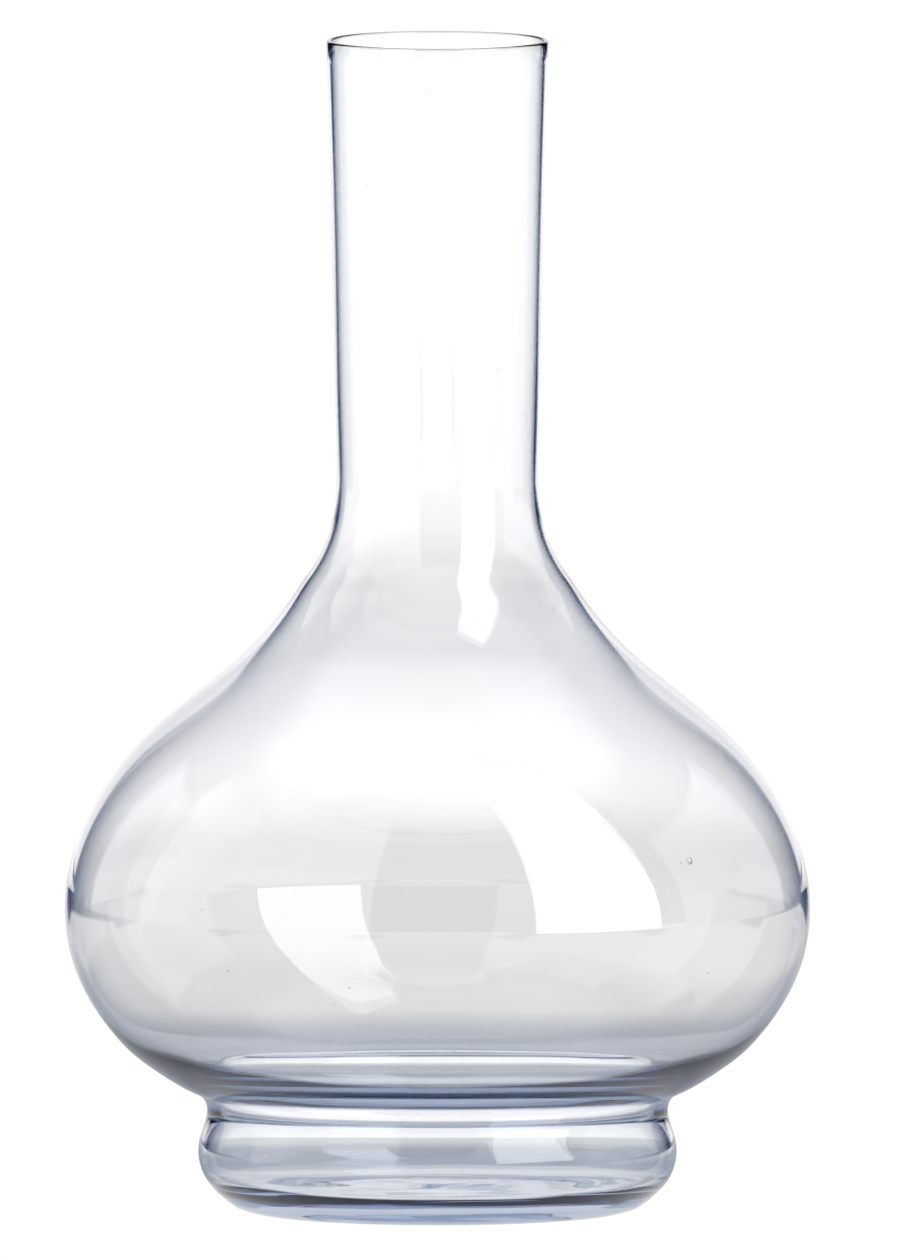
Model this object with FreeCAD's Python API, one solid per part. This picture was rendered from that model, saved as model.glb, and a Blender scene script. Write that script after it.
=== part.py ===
"""Footed carafe of clear mouth-blown glass: tall neck, onion bulb, tight waist and hollow foot.

The carafe is one turned shape about the Z axis, open from the rim down to the floor of the foot.
Units are millimetres. The origin is on the axis, on the surface that the carafe stands on.
Two smooth outlines give the shape: the outside skin and the cavity. Each outline is a clamped
cubic B-spline whose control points are (radius, height). The glass between them is divided at
level joints into the masses that a glassworker names, each a solid of its own, face to face.
"""
import FreeCAD, Part
import math
import os

# Driving dimensions
RIM_HEIGHT = 262.0          # where the rounded lip starts
RIM_RADIUS = 24.9           # outside of the lip
NECK_WALL = 1.1
BULB_WALL = 0.8
REST_OUTER = 40.0           # flat ring that the carafe stands on
REST_INNER = 34.0
PUNT_RISE = 4.5             # hollow under the base, at its centre
FLOOR_HEIGHT = 6.8          # top of the glass floor, at its centre

# Level joints between the masses of glass
NECK_JOINT = 151.0
COLLAR_TOP = 34.0
COLLAR_BOTTOM = 20.0
BASE_JOINT = 8.0

DEGREE = 3
AXIS = FreeCAD.Vector(0, 0, 1)
ORIGIN = FreeCAD.Vector(0, 0, 0)
FULL_TURN = 360.0
SLAB_RADIUS = 120.0         # wider than the bulb, so a slab takes the whole section

# Outside skin, from the lip down to the resting ring
OUTSIDE = [
    (RIM_RADIUS, RIM_HEIGHT),
    (23.9, 235.0),
    (23.6, 202.0),
    (22.8, 177.0),
    (22.0, 152.0),          # narrowest part of the neck
    (31.0, 140.5),
    (33.0, 136.5),
    (44.8, 122.5),          # hollow shoulder turning to the round flank
    (69.0, 106.3),
    (84.7, 78.5),
    (83.0, 54.0),           # fullest part of the bulb
    (71.8, 38.5),
    (66.3, 33.7),
    (56.0, 27.0),
    (52.2, 26.2),           # tight turn into the waist
    (50.8, 21.8),
    (54.0, 15.3),           # foot swells below the waist
    (53.0, 8.5),
    (49.0, 3.8),
    (44.3, 0.0),            # heel
    (REST_OUTER, 0.0),
]

# Cavity, from the lip down to the middle of the floor
CAVITY = [
    (RIM_RADIUS - NECK_WALL, RIM_HEIGHT),
    (22.8, 235.0),
    (22.5, 202.0),
    (21.7, 177.0),
    (20.9, 152.0),
    (29.8, 140.0),
    (31.9, 135.5),
    (43.8, 121.3),
    (68.1, 105.4),
    (84.7 - BULB_WALL, 78.4),
    (81.9, 53.6),           # the wall thickens towards the waist
    (71.6, 39.4),
    (65.7, 34.8),
    (56.7, 30.2),
    (49.3, 29.2),           # crest of the collar inside the waist
    (48.3, 22.5),
    (52.0, 15.8),
    (51.6, 9.8),
    (48.5, 5.6),            # inside of the heel
    (40.0, 4.3),
    (31.0, 4.4),            # trough round the dome
    (21.0, 5.6),
    (11.0, FLOOR_HEIGHT),
    (0.0, FLOOR_HEIGHT),
]


def point(radius, height):
    """A point of the outline in the XZ plane."""
    return FreeCAD.Vector(radius, 0, height)


def smooth_edge(stations):
    """Clamped cubic B-spline with evenly spaced knots over the control points."""
    spans = len(stations) - DEGREE
    knots = [span / spans for span in range(spans + 1)]
    multiplicities = [DEGREE + 1] + [1] * (spans - 1) + [DEGREE + 1]
    curve = Part.BSplineCurve()
    poles = [point(radius, height) for radius, height in stations]
    curve.buildFromPolesMultsKnots(poles, multiplicities, knots, False, DEGREE)
    return curve.toShape()


def arc_edge(start, middle, end):
    """Circular arc through three (radius, height) points."""
    return Part.Arc(point(*start), point(*middle), point(*end)).toShape()


def line_edge(start, end):
    """Straight edge between two (radius, height) points."""
    return Part.LineSegment(point(*start), point(*end)).toShape()


def lip_edge():
    """Half-round, fire-polished lip that joins the cavity to the outside skin."""
    middle_radius = RIM_RADIUS - NECK_WALL / 2
    crown = (middle_radius, RIM_HEIGHT + NECK_WALL / 2)
    return arc_edge(CAVITY[0], crown, OUTSIDE[0])


def punt_edge():
    """Shallow dish under the base, an arc whose lowest edge is the inside of the resting ring."""
    dish_radius = (REST_INNER ** 2 + PUNT_RISE ** 2) / (2 * PUNT_RISE)
    half_radius = REST_INNER / 2
    half_rise = PUNT_RISE - dish_radius + math.sqrt(dish_radius ** 2 - half_radius ** 2)
    return arc_edge((REST_INNER, 0), (half_radius, half_rise), (0, PUNT_RISE))


def whole_glass():
    """All the glass as one turned solid."""
    edges = [
        smooth_edge(OUTSIDE),
        line_edge((REST_OUTER, 0), (REST_INNER, 0)),
        punt_edge(),
        line_edge((0, PUNT_RISE), (0, FLOOR_HEIGHT)),
        smooth_edge(CAVITY),
        lip_edge(),
    ]
    wire = Part.Wire(Part.__sortEdges__(edges))
    section = Part.Face(wire)
    return section.revolve(ORIGIN, AXIS, FULL_TURN)


def mass_between(glass, low, high):
    """The glass between two levels, as one solid."""
    slab = Part.makeCylinder(SLAB_RADIUS, high - low, FreeCAD.Vector(0, 0, low), AXIS)
    return glass.common(slab).Solids[0]


def build():
    """Every mass of glass by its node name."""
    glass = whole_glass()
    levels = {
        "neck": (NECK_JOINT, RIM_HEIGHT + NECK_WALL),
        "bulb": (COLLAR_TOP, NECK_JOINT),
        "waist_collar": (COLLAR_BOTTOM, COLLAR_TOP),
        "foot_wall": (BASE_JOINT, COLLAR_BOTTOM),
        "base": (0.0, BASE_JOINT),
    }
    return {name: mass_between(glass, low, high) for name, (low, high) in levels.items()}


def main():
    """Write one STEP file for each node and print its volume."""
    os.makedirs("parts", exist_ok=True)
    for name, shape in build().items():
        shape.exportStep("parts/" + name + ".step")
        print(name, "valid" if shape.isValid() else "INVALID", round(shape.Volume, 1), "mm3")


main()
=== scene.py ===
"""Looks for the footed glass carafe: one closed blown-glass mesh, studio floor, panels and camera."""
import math
import random

import bmesh
import bpy
from mathutils import Matrix, Vector, noise


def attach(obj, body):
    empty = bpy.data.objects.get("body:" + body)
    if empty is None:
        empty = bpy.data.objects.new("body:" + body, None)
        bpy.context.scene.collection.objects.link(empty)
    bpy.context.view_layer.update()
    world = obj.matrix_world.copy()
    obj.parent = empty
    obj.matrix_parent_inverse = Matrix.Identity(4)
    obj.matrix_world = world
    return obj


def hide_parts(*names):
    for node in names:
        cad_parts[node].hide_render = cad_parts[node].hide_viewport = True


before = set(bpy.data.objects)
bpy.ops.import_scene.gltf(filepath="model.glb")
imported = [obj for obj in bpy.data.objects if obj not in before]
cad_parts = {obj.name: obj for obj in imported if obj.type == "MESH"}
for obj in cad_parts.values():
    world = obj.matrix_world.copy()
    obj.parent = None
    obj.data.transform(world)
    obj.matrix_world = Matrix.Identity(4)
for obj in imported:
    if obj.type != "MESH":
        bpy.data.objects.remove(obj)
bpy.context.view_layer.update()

MM = 0.001

# Driving dimensions of the glass, in millimetres, as in the CAD design
RIM_HEIGHT = 262.0
RIM_RADIUS = 24.9
NECK_WALL = 1.1
BULB_WALL = 0.8
REST_OUTER = 40.0
REST_INNER = 34.0
PUNT_RISE = 4.5
FLOOR_HEIGHT = 6.8

DEGREE = 3

# Outside skin, from the lip down to the resting ring, as (radius, height) control points. They are
# rounded from a least-squares fit to the silhouette, apart from the lip's and heel's levels and the
# resting ring.
OUTSIDE = [
    (RIM_RADIUS, RIM_HEIGHT),
    (23.9, 235.0),
    (23.6, 202.0),
    (22.8, 177.0),
    (22.0, 152.0),          # narrowest part of the neck
    (31.0, 140.5),
    (33.0, 136.5),
    (44.8, 122.5),          # hollow shoulder turning to the round flank
    (69.0, 106.3),
    (84.7, 78.5),
    (83.0, 54.0),           # fullest part of the bulb
    (71.8, 38.5),
    (66.3, 33.7),
    (56.0, 27.0),
    (52.2, 26.2),           # tight turn into the waist
    (50.8, 21.8),
    (54.0, 15.3),           # foot swells below the waist
    (53.0, 8.5),
    (49.0, 3.8),
    (44.3, 0.0),            # heel
    (REST_OUTER, 0.0),
]

# Cavity, from the lip down to the middle of the floor. Above the waist it follows the outside skin,
# and the five points from (81.9, 53.6) to the collar's crest are rounded from a second fit.
CAVITY = [
    (RIM_RADIUS - NECK_WALL, RIM_HEIGHT),
    (22.8, 235.0),
    (22.5, 202.0),
    (21.7, 177.0),
    (20.9, 152.0),
    (29.8, 140.0),
    (31.9, 135.5),
    (43.8, 121.3),
    (68.1, 105.4),
    (84.7 - BULB_WALL, 78.4),
    (81.9, 53.6),           # the wall thickens towards the waist
    (71.6, 39.4),
    (65.7, 34.8),
    (56.7, 30.2),
    (49.3, 29.2),           # crest of the collar inside the waist
    (48.3, 22.5),
    (52.0, 15.8),
    (51.6, 9.8),
    (48.5, 5.6),            # inside of the heel
    (40.0, 4.3),
    (31.0, 4.4),            # trough round the dome
    (21.0, 5.6),
    (11.0, FLOOR_HEIGHT),
    (0.0, FLOOR_HEIGHT),
]

# How finely the glass is turned
SEGMENTS = 256
OUTSIDE_STEPS = 360
CAVITY_STEPS = 360
LIP_STEPS = 12
REST_STEPS = 3
PUNT_STEPS = 80

# Hand-blown irregularity, in millimetres
BODY_WAVE = 0.035           # slow waves of the neck and bulb
BODY_WAVE_LENGTH = 22.0
BASE_SWIRL = 0.09           # swirls left in the base where the glass was worked
BASE_SWIRL_LENGTH = 3.2
SWIRL_TOP = 12.0            # level where the swirls have faded out
SWIRL_TWIST = 0.11          # turn of the swirls, in radians for each millimetre outwards
PONTIL_RADIUS = 9.5         # small dimple where the pontil iron was broken off
PONTIL_DEPTH = 0.7
INNER_SHIFT = 7.0           # moves the noise of the cavity's face away from the outside's
WAVE_STRETCH = 0.6          # waves are longer up the glass than round it
SWIRL_LOBES = 1.6           # how much the swirls change round the base
SWIRL_LEAN = 1.5            # how far the swirls move inwards for each millimetre up
SWIRL_FADE = 5.0            # the swirls grow to full depth over this much below their top
RING_CLEAR = 5.0            # the base stays flat this far each side of the resting ring's middle
RING_LIFT = 0.5
RING_FADE = 3.0
SEEDS = 44                  # tiny bubbles in the wall
SEED_ZONES = ((45.0, 130.0), (24.0, 60.0), (130.0, 255.0))      # lowest and highest level
SEED_SIZES = (0.09, 0.2)
SEED_FLATNESS = 0.8
WALL_SHARE = 0.35           # most of the wall that a bubble may take, each way from its middle
FLAT_BUBBLE_TURN = -45.4    # degrees round the bulb from +X
FLAT_BUBBLE_HEIGHT = 83.0
FLAT_BUBBLE_SIZE = 0.8
FLAT_BUBBLE_FLATNESS = 0.05

# Clear glass
GLASS_IOR = 1.5
BODY_COLOUR = (0.1, 0.28, 0.55)
BODY_DENSITY = 66.0
# Painted shade: blue-grey darkening of glass seen edge-on, painted into its base colour in place of
# dark surroundings
PAINTED_EDGE_SHADE_START = 0.62           # Layer Weight facing: 0 square on, 1 edge-on
PAINTED_EDGE_SHADE_END = 0.98
PAINTED_EDGE_SHADE_COLOUR = (0.16, 0.22, 0.38)

# Camera
CAMERA_ELEVATION = 4.7      # degrees
CAMERA_TARGET = (0.0028, 0.0, 0.1302)
CAMERA_DISTANCE = 4.0
VIEW_HEIGHT = 0.2816        # metres that the picture is tall
LIGHT_BOUNCES = 32          # light runs a long way round inside the base

# Studio panels, in metres; bearings are in degrees, as in bearing()
WHITE = (1.0, 1.0, 1.0)
SOFTBOX_PLAN = [(0.157, -0.305), (0.304, -0.140)]
SOFTBOX_HEIGHTS = (0.057, 1.05)
SOFTBOX_GLOW = 3.6
PANEL_DISTANCE = 0.9
PANEL_BOTTOM = 0.03
REFLECTOR_TOP = 1.3
REFLECTOR_BEARINGS = (-20.0, -80.0)
REFLECTOR_GLOW = 1.0
FILL_TOP = 0.7
FILL_BEARINGS = (("fill_right", (80.0, 132.0)), ("fill_left", (-102.0, -132.0)))
FILL_COLOUR = (0.9, 0.95, 1.0)
FILL_GLOW = 0.7

# Room round the table. Levels are the sine of the elevation.
DARK_ROOM = (0.012, 0.028, 0.085)
BACKDROP = (1.3, 1.24, 1.18)
OVERHEAD = (1.0, 0.98, 0.95)
WINDOWS = (180.0, -90.0)    # bearings of the white backdrops
WINDOW_HALF = 20.0
WINDOW_FADE = 3.0
WINDOW_TOP = (0.6, 0.82)    # the backdrops fade out between these levels
OVERHEAD_EDGE = (0.74, 0.88)

# Floor. Camera rays see it plain; rays that have met the glass see painted light and shade: glowing
# light strips on dark ground, with painted shadow round the carafe.
FLOOR_HALF = 8.0
FLOOR_GLOW = 1.25
PLAIN_FLOOR = (0.82, 0.82, 0.82)
# Painted light: strips of the floor's glow that only rays from the glass see
PAINTED_LIGHT_STRIPS = ((180.0, 8.0), (-90.0, 8.0), (0.0, 0.3))       # (bearing, length in metres)
SIDE_PAINTED_LIGHT_STRIPS = ((-135.0, 0.8), (45.0, 1.2), (135.0, 1.2), (-45.0, 1.2), (0.0, 8.0), (90.0, 8.0))
SIDE_PAINTED_LIGHT_TONE = (0.76, 0.75, 0.73)
STRIP_HALF = 0.14
STRIP_EDGE = 0.05
STRIP_START = 0.02
STRIP_END = 0.2
STRIP_FLARE = 0.14          # how much a strip widens for each metre away
FAR_START = 1.2             # the ground far behind, seen through the neck, is wider still
FAR_END = 2.2
FAR_WIDENING = 0.6
# Painted light and shadow of the first strips by distance from the carafe in metres, as a share of
# FLOOR_GLOW: painted light under the carafe, painted shadow a hand's breadth out
PAINTED_LIGHT_AND_SHADOW_TONES = (
    (0.00, (0.84, 0.81, 0.78)),
    (0.05, (0.80, 0.78, 0.75)),
    (0.08, (0.38, 0.40, 0.45)),
    (0.25, (0.42, 0.43, 0.46)),
    (0.45, (0.65, 0.64, 0.61)),
    (0.85, (0.74, 0.72, 0.69)),
    (1.17, (0.78, 0.75, 0.72)),
    (1.70, (0.97, 0.93, 0.89)),
    (2.50, (1.05, 1.01, 0.97)),
)
TONE_REACH = 2.5
# Painted shade: dark ground beside the strips, close to the carafe
PAINTED_SHADE_NEAR = (0.12, 0.15, 0.22)     # ground beside the strips, close to the carafe
SHADE_FADE = (0.3, 1.4)             # it darkens to DARK_ROOM between these distances


def spline(stations, steps):
    """Points of a clamped cubic B-spline with evenly spaced knots, the curve of the CAD design."""
    spans = len(stations) - DEGREE
    knots = [0.0] * DEGREE + [span / spans for span in range(spans + 1)] + [1.0] * DEGREE
    line = []
    for step in range(steps + 1):
        u = step / steps
        span = min(int(u * spans), spans - 1) + DEGREE
        near = [stations[span - DEGREE + i] for i in range(DEGREE + 1)]
        for level in range(1, DEGREE + 1):
            for i in range(DEGREE, level - 1, -1):
                start = knots[span - DEGREE + i]
                share = (u - start) / (knots[i + 1 + span - level] - start)
                near[i] = tuple(a + share * (b - a) for a, b in zip(near[i - 1], near[i]))
        line.append(near[DEGREE])
    return line


def smooth_share(value):
    """Smooth step from 0 to 1 as the value goes from 0 to 1."""
    value = min(max(value, 0.0), 1.0)
    return value * value * (3.0 - 2.0 * value)


def glass_section():
    """The glass from the middle of the underside, up the outside, over the lip, down to the floor."""
    dish = (REST_INNER ** 2 + PUNT_RISE ** 2) / (2 * PUNT_RISE)
    punt = []
    for step in range(PUNT_STEPS + 1):
        radius = REST_INNER * step / PUNT_STEPS
        dimple = PONTIL_DEPTH * smooth_share(1.0 - radius / PONTIL_RADIUS)
        punt.append((radius, PUNT_RISE - dish + math.sqrt(dish ** 2 - radius ** 2) + dimple))
    width = REST_OUTER - REST_INNER
    rest = [(REST_INNER + width * step / REST_STEPS, 0.0) for step in range(1, REST_STEPS)]
    outside = spline(OUTSIDE, OUTSIDE_STEPS)[::-1]
    lip = []
    for step in range(1, LIP_STEPS):
        turn = math.pi * step / LIP_STEPS
        radius = RIM_RADIUS - NECK_WALL / 2 * (1 - math.cos(turn))
        lip.append((radius, RIM_HEIGHT + NECK_WALL / 2 * math.sin(turn)))
    return punt + rest + outside + lip + spline(CAVITY, CAVITY_STEPS)


def roughen_by_hand(shape):
    """Move the skin in and out a little: slow waves above, tight swirls in the base."""
    shape.normal_update()
    moves = []
    for vertex in shape.verts:
        place = vertex.co / MM
        radius = math.hypot(place.x, place.y)
        inner = INNER_SHIFT if vertex.normal.xy.dot(place.xy) < 0 else 0.0
        wave = Vector((place.x, place.y, place.z * WAVE_STRETCH)) / BODY_WAVE_LENGTH
        wave.z += inner
        amount = BODY_WAVE * noise.noise(wave)
        if place.z < SWIRL_TOP:
            turn = math.atan2(place.y, place.x) + radius * SWIRL_TWIST
            out = (radius + SWIRL_LEAN * place.z) / BASE_SWIRL_LENGTH
            around = (SWIRL_LOBES * math.cos(turn), SWIRL_LOBES * math.sin(turn))
            swirl = noise.noise(Vector((*around, out + inner)))
            share = smooth_share((SWIRL_TOP - place.z) / SWIRL_FADE)
            amount += BASE_SWIRL * share * swirl
            beside = abs(radius - (REST_INNER + REST_OUTER) / 2) - RING_CLEAR
            off_ring = max(place.z - RING_LIFT, beside)
            amount *= smooth_share(off_ring / RING_FADE)
        moves.append(vertex.normal * amount * MM)
    for vertex, move in zip(shape.verts, moves):
        vertex.co += move


def radius_at(line, height):
    """Radius of an outline at a level, above the base."""
    for (r1, z1), (r2, z2) in zip(line, line[1:]):
        if z1 >= height > z2:
            return r1 + (r2 - r1) * (z1 - height) / (z1 - z2)
    return line[-1][0]


def bubble(shape, skins, turn, height, size, flatness):
    """One closed air bubble in the middle of the wall, its faces turned inwards."""
    outer, inner = (radius_at(skin, height) for skin in skins)
    middle = (outer + inner) / 2 * MM
    size = min(size, WALL_SHARE * (outer - inner) / flatness) * MM
    pose = (Matrix.Rotation(turn, 4, "Z") @ Matrix.Translation((middle, 0.0, height * MM))
            @ Matrix.Diagonal((flatness, 1.0, 1.0, 1.0)))
    new = bmesh.ops.create_icosphere(shape, subdivisions=2, radius=size, matrix=pose)
    faces = {face for vertex in new["verts"] for face in vertex.link_faces}
    for face in faces:
        face.smooth = True
        face.normal_flip()


def add_seeds(shape):
    """Seeds of the melt: tiny bubbles all over the wall, and one larger flat one on the bulb."""
    draw = random.Random(11)
    skins = (spline(OUTSIDE, OUTSIDE_STEPS), spline(CAVITY, CAVITY_STEPS))
    for _ in range(SEEDS):
        height = draw.choice([draw.uniform(*zone) for zone in SEED_ZONES])
        turn = draw.uniform(0.0, 2 * math.pi)
        bubble(shape, skins, turn, height, draw.uniform(*SEED_SIZES), SEED_FLATNESS)
    bubble(shape, skins, math.radians(FLAT_BUBBLE_TURN), FLAT_BUBBLE_HEIGHT,
           FLAT_BUBBLE_SIZE, FLAT_BUBBLE_FLATNESS)


def turned_mesh(name, section):
    """Closed mesh made by turning a section whose two ends lie on the axis."""
    shape = bmesh.new()
    rings = []
    for radius, height in section:
        if radius < 1e-6:
            rings.append([shape.verts.new((0.0, 0.0, height * MM))])
            continue
        ring = []
        for segment in range(SEGMENTS):
            turn = 2 * math.pi * segment / SEGMENTS
            ring.append(shape.verts.new((radius * MM * math.cos(turn),
                                         radius * MM * math.sin(turn), height * MM)))
        rings.append(ring)
    for lower, upper in zip(rings, rings[1:]):
        for a in range(SEGMENTS):
            b = (a + 1) % SEGMENTS
            if len(lower) == 1:
                corners = [lower[0], upper[b], upper[a]]
            elif len(upper) == 1:
                corners = [lower[a], lower[b], upper[0]]
            else:
                corners = [lower[a], lower[b], upper[b], upper[a]]
            shape.faces.new(corners).smooth = True
    bmesh.ops.recalc_face_normals(shape, faces=shape.faces)
    roughen_by_hand(shape)
    add_seeds(shape)
    mesh = bpy.data.meshes.new(name)
    shape.to_mesh(mesh)
    shape.free()
    piece = bpy.data.objects.new(name, mesh)
    bpy.context.scene.collection.objects.link(piece)
    return piece


def math_node(tree, operation, *values):
    """A Math node fed by numbers or sockets; gives its output socket."""
    node = tree.nodes.new("ShaderNodeMath")
    node.operation = operation
    for socket, value in zip(node.inputs, values):
        if hasattr(value, "links"):
            tree.links.new(value, socket)
        else:
            socket.default_value = value
    return node.outputs[0]


def ramp(tree, value, start, end, low, high):
    """Smooth step from low to high as the value goes from start to end."""
    node = tree.nodes.new("ShaderNodeMapRange")
    node.interpolation_type = "SMOOTHSTEP"
    tree.links.new(value, node.inputs["Value"])
    for name, number in (("From Min", start), ("From Max", end), ("To Min", low), ("To Max", high)):
        node.inputs[name].default_value = number
    return node.outputs["Result"]


def blend_colour(tree, factor, low, high):
    """Colour that goes from low to high with the factor socket."""
    mix = tree.nodes.new("ShaderNodeMix")
    mix.data_type = "RGBA"
    tree.links.new(factor, mix.inputs["Factor"])
    colours = [socket for socket in mix.inputs if socket.type == "RGBA"]
    for socket, value in zip(colours, (low, high)):
        if hasattr(value, "links"):
            tree.links.new(value, socket)
        else:
            socket.default_value = (*value, 1.0)
    return next(socket for socket in mix.outputs if socket.type == "RGBA")


def clear_glass():
    """Clear glass with a blue body colour and painted shade: a blue-grey edge-on darkening in the base
    colour.
    """
    glass = bpy.data.materials.new("clear_glass")
    glass.use_nodes = True
    tree = glass.node_tree
    shader = tree.nodes["Principled BSDF"]
    facing = tree.nodes.new("ShaderNodeLayerWeight")
    facing.inputs["Blend"].default_value = 0.5
    # painted shade: the base colour turns blue-grey where the glass is seen edge-on
    painted_edge_shade = ramp(tree, facing.outputs["Facing"], PAINTED_EDGE_SHADE_START, PAINTED_EDGE_SHADE_END, 0.0, 1.0)
    tree.links.new(blend_colour(tree, painted_edge_shade, WHITE, PAINTED_EDGE_SHADE_COLOUR), shader.inputs["Base Color"])
    shader.inputs["Roughness"].default_value = 0.0
    shader.inputs["IOR"].default_value = GLASS_IOR
    shader.inputs["Transmission Weight"].default_value = 1.0
    body = tree.nodes.new("ShaderNodeVolumeAbsorption")
    body.inputs["Color"].default_value = (*BODY_COLOUR, 1.0)
    body.inputs["Density"].default_value = BODY_DENSITY
    tree.links.new(body.outputs["Volume"], tree.nodes["Material Output"].inputs["Volume"])
    return glass


def bearing(azimuth, elevation):
    """Direction from the carafe: azimuth 0 is towards the camera (-Y), positive to its right (+X)."""
    a, e = math.radians(azimuth), math.radians(elevation)
    return Vector((math.sin(a) * math.cos(e), -math.cos(a) * math.cos(e), math.sin(e)))


def glowing(name, colour, strength):
    """Plain glowing material for a studio panel."""
    material = bpy.data.materials.new(name)
    material.use_nodes = True
    tree = material.node_tree
    tree.nodes.clear()
    glow = tree.nodes.new("ShaderNodeEmission")
    glow.inputs["Color"].default_value = (*colour, 1.0)
    glow.inputs["Strength"].default_value = strength
    output = tree.nodes.new("ShaderNodeOutputMaterial")
    tree.links.new(glow.outputs["Emission"], output.inputs["Surface"])
    return material


def upright_panel(name, plan, heights, material):
    """Upright studio panel over a run of (x, y) points, unseen by the camera itself."""
    corners = [(x, y, height) for x, y in plan for height in heights]
    faces = [[2 * a, 2 * a + 2, 2 * a + 3, 2 * a + 1] for a in range(len(plan) - 1)]
    mesh = bpy.data.meshes.new(name)
    mesh.from_pydata(corners, [], faces)
    mesh.materials.append(material)
    piece = bpy.data.objects.new(name, mesh)
    bpy.context.scene.collection.objects.link(piece)
    piece.visible_camera = False
    return piece


def round_plan(azimuths, distance):
    """Points of a circular arc round the carafe, between two bearings."""
    steps = max(1, round(abs(azimuths[1] - azimuths[0]) / 8))
    points = []
    for step in range(steps + 1):
        azimuth = azimuths[0] + (azimuths[1] - azimuths[0]) * step / steps
        place = bearing(azimuth, 0) * distance
        points.append((place.x, place.y))
    return points


def studio_panels():
    """Softbox, reflector and fills round the table, hidden from the camera itself."""
    softbox = glowing("softbox", WHITE, SOFTBOX_GLOW)
    upright_panel("softbox_right", SOFTBOX_PLAN, SOFTBOX_HEIGHTS, softbox)
    reflector = glowing("reflector", WHITE, REFLECTOR_GLOW)
    plan = round_plan(REFLECTOR_BEARINGS, PANEL_DISTANCE)
    upright_panel("reflector_left", plan, (PANEL_BOTTOM, REFLECTOR_TOP), reflector)
    fill = glowing("fill", FILL_COLOUR, FILL_GLOW)
    for name, bearings in FILL_BEARINGS:
        upright_panel(name, round_plan(bearings, PANEL_DISTANCE), (PANEL_BOTTOM, FILL_TOP), fill)


def studio_world():
    """Dark blue room with two white backdrops and a light ceiling."""
    world = bpy.data.worlds.new("studio")
    bpy.context.scene.world = world
    world.use_nodes = True
    tree = world.node_tree
    direction = tree.nodes.new("ShaderNodeTexCoord").outputs["Generated"]
    parts = tree.nodes.new("ShaderNodeSeparateXYZ")
    tree.links.new(direction, parts.inputs["Vector"])
    up = ramp(tree, parts.outputs["Z"], *WINDOW_TOP, 1.0, 0.0)
    overhead = ramp(tree, parts.outputs["Z"], *OVERHEAD_EDGE, 0.0, 1.0)
    colour = blend_colour(tree, overhead, DARK_ROOM, OVERHEAD)
    for azimuth in WINDOWS:
        facing = tree.nodes.new("ShaderNodeVectorMath")
        facing.operation = "DOT_PRODUCT"
        tree.links.new(direction, facing.inputs[0])
        facing.inputs[1].default_value = bearing(azimuth, 0.0)
        level_squared = math_node(tree, "POWER", parts.outputs["Z"], 2.0)
        plan = math_node(tree, "SQRT", math_node(tree, "SUBTRACT", 1.0, level_squared))
        along = math_node(tree, "DIVIDE", facing.outputs["Value"], plan)
        across = ramp(tree, along, math.cos(math.radians(WINDOW_HALF + WINDOW_FADE)),
                      math.cos(math.radians(WINDOW_HALF)), 0.0, 1.0)
        colour = blend_colour(tree, math_node(tree, "MULTIPLY", across, up), colour, BACKDROP)
    tree.links.new(colour, tree.nodes["Background"].inputs["Color"])


def painted_light_and_shadow_colour(tree, distance):
    """Colour of the first strips: painted shadow a hand's breadth from the carafe, painted light under
    and behind it.
    """
    ramp_node = tree.nodes.new("ShaderNodeValToRGB")
    stops = ramp_node.color_ramp.elements
    while len(stops) < len(PAINTED_LIGHT_AND_SHADOW_TONES):
        stops.new(1.0)
    for stop, (reach, tone) in zip(stops, PAINTED_LIGHT_AND_SHADOW_TONES):
        stop.position = reach / TONE_REACH
        stop.color = (*tone, 1.0)
    tree.links.new(math_node(tree, "DIVIDE", distance, TONE_REACH), ramp_node.inputs["Fac"])
    return ramp_node.outputs["Color"]


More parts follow.
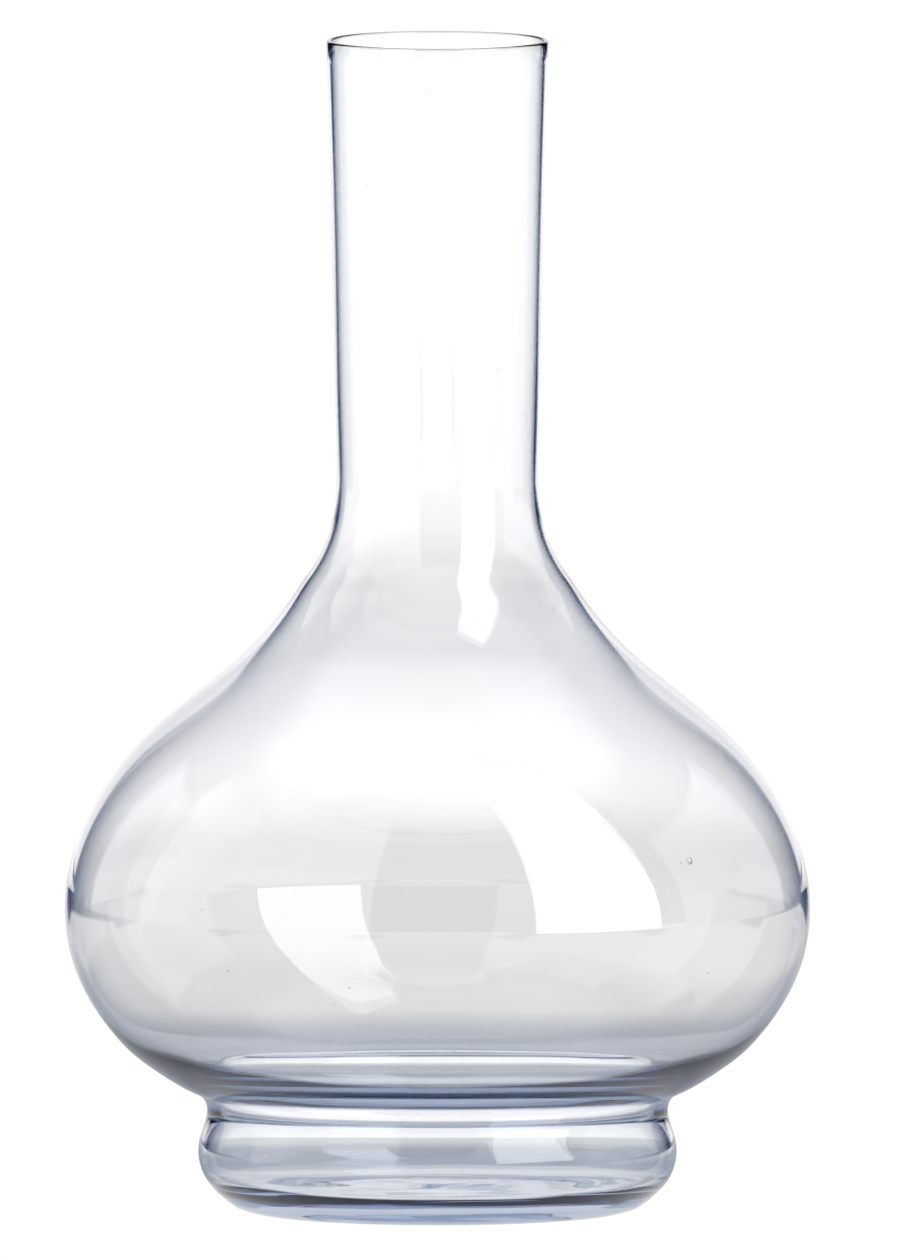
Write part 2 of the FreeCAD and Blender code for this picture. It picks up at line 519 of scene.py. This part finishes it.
def studio_floor():
    """Pale floor, plain to the camera, with painted light strips and painted shade on dark ground to
    rays from the glass.
    """
    half = FLOOR_HALF
    mesh = bpy.data.meshes.new("floor")
    corners = [(-half, -half, 0), (half, -half, 0), (half, half, 0), (-half, half, 0)]
    mesh.from_pydata(corners, [], [(0, 1, 2, 3)])
    material = glowing("pale_floor_painted_light", WHITE, FLOOR_GLOW)
    tree = material.node_tree
    place = tree.nodes.new("ShaderNodeNewGeometry").outputs["Position"]

    def measured(operation, vector):
        """A length or a dot product of the place on the floor."""
        node = tree.nodes.new("ShaderNodeVectorMath")
        node.operation = operation
        tree.links.new(place, node.inputs[0])
        node.inputs[1].default_value = vector
        return node.outputs["Value"]

    def strip_share(azimuth, length):
        """How much of a strip a place is in, from 0 to 1."""
        forward = bearing(azimuth, 0.0)
        along = measured("DOT_PRODUCT", forward)
        across = math_node(tree, "ABSOLUTE", measured("DOT_PRODUCT", (forward.y, -forward.x, 0.0)))
        flare = math_node(tree, "MULTIPLY", along, STRIP_FLARE)
        across = math_node(tree, "SUBTRACT", across, flare)
        wider = ramp(tree, along, FAR_START, FAR_END, 0.0, FAR_WIDENING)
        across = math_node(tree, "SUBTRACT", across, wider)
        sides = ramp(tree, across, STRIP_HALF, STRIP_HALF + STRIP_EDGE, 1.0, 0.0)
        start = ramp(tree, along, -STRIP_START, STRIP_START, 0.0, 1.0)
        end = ramp(tree, along, length, length + STRIP_END, 1.0, 0.0)
        return math_node(tree, "MULTIPLY", sides, math_node(tree, "MULTIPLY", start, end))

    distance = measured("LENGTH", (0.0, 0.0, 0.0))
    painted_light_mask = ramp(tree, distance, STRIP_HALF, STRIP_HALF + STRIP_EDGE, 1.0, 0.0)
    for azimuth, length in PAINTED_LIGHT_STRIPS:
        painted_light_mask = math_node(tree, "MAXIMUM", painted_light_mask, strip_share(azimuth, length))
    # painted shade on the ground beside the strips, darker further from the carafe
    darkening = ramp(tree, distance, *SHADE_FADE, 0.0, 1.0)
    shade = blend_colour(tree, darkening, PAINTED_SHADE_NEAR, DARK_ROOM)
    for azimuth, length in SIDE_PAINTED_LIGHT_STRIPS:
        shade = blend_colour(tree, strip_share(azimuth, length), shade, SIDE_PAINTED_LIGHT_TONE)
    # painted light and shadow where the strips are, painted shade between them; the camera sees
    # PLAIN_FLOOR instead
    lit = blend_colour(tree, painted_light_mask, shade, painted_light_and_shadow_colour(tree, distance))
    plain = tree.nodes.new("ShaderNodeLightPath").outputs["Is Camera Ray"]
    shown = blend_colour(tree, plain, lit, PLAIN_FLOOR)
    tree.links.new(shown, tree.nodes["Emission"].inputs["Color"])
    mesh.materials.append(material)
    floor = bpy.data.objects.new("floor", mesh)
    bpy.context.scene.collection.objects.link(floor)


def studio_camera():
    """Parallel view, nearly level, looking a little down on the carafe."""
    elevation = math.radians(CAMERA_ELEVATION)
    data = bpy.data.cameras.new("camera")
    data.type = "ORTHO"
    data.ortho_scale = VIEW_HEIGHT
    data.clip_end = 20.0
    camera = bpy.data.objects.new("camera", data)
    bpy.context.scene.collection.objects.link(camera)
    back = Vector((0.0, -math.cos(elevation), math.sin(elevation)))
    camera.location = Vector(CAMERA_TARGET) + back * CAMERA_DISTANCE
    camera.rotation_euler = (math.pi / 2 - elevation, 0.0, 0.0)
    bpy.context.scene.camera = camera


studio_camera()
studio_world()
studio_floor()
studio_panels()

glass_body = turned_mesh("glass_body", glass_section())
glass_body.data.materials.append(clear_glass())
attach(glass_body, "root")
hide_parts("neck", "bulb", "waist_collar", "foot_wall", "base")

scene = bpy.context.scene
scene.view_settings.view_transform = "Standard"
scene.cycles.max_bounces = LIGHT_BOUNCES
scene.cycles.glossy_bounces = LIGHT_BOUNCES
scene.cycles.transmission_bounces = LIGHT_BOUNCES
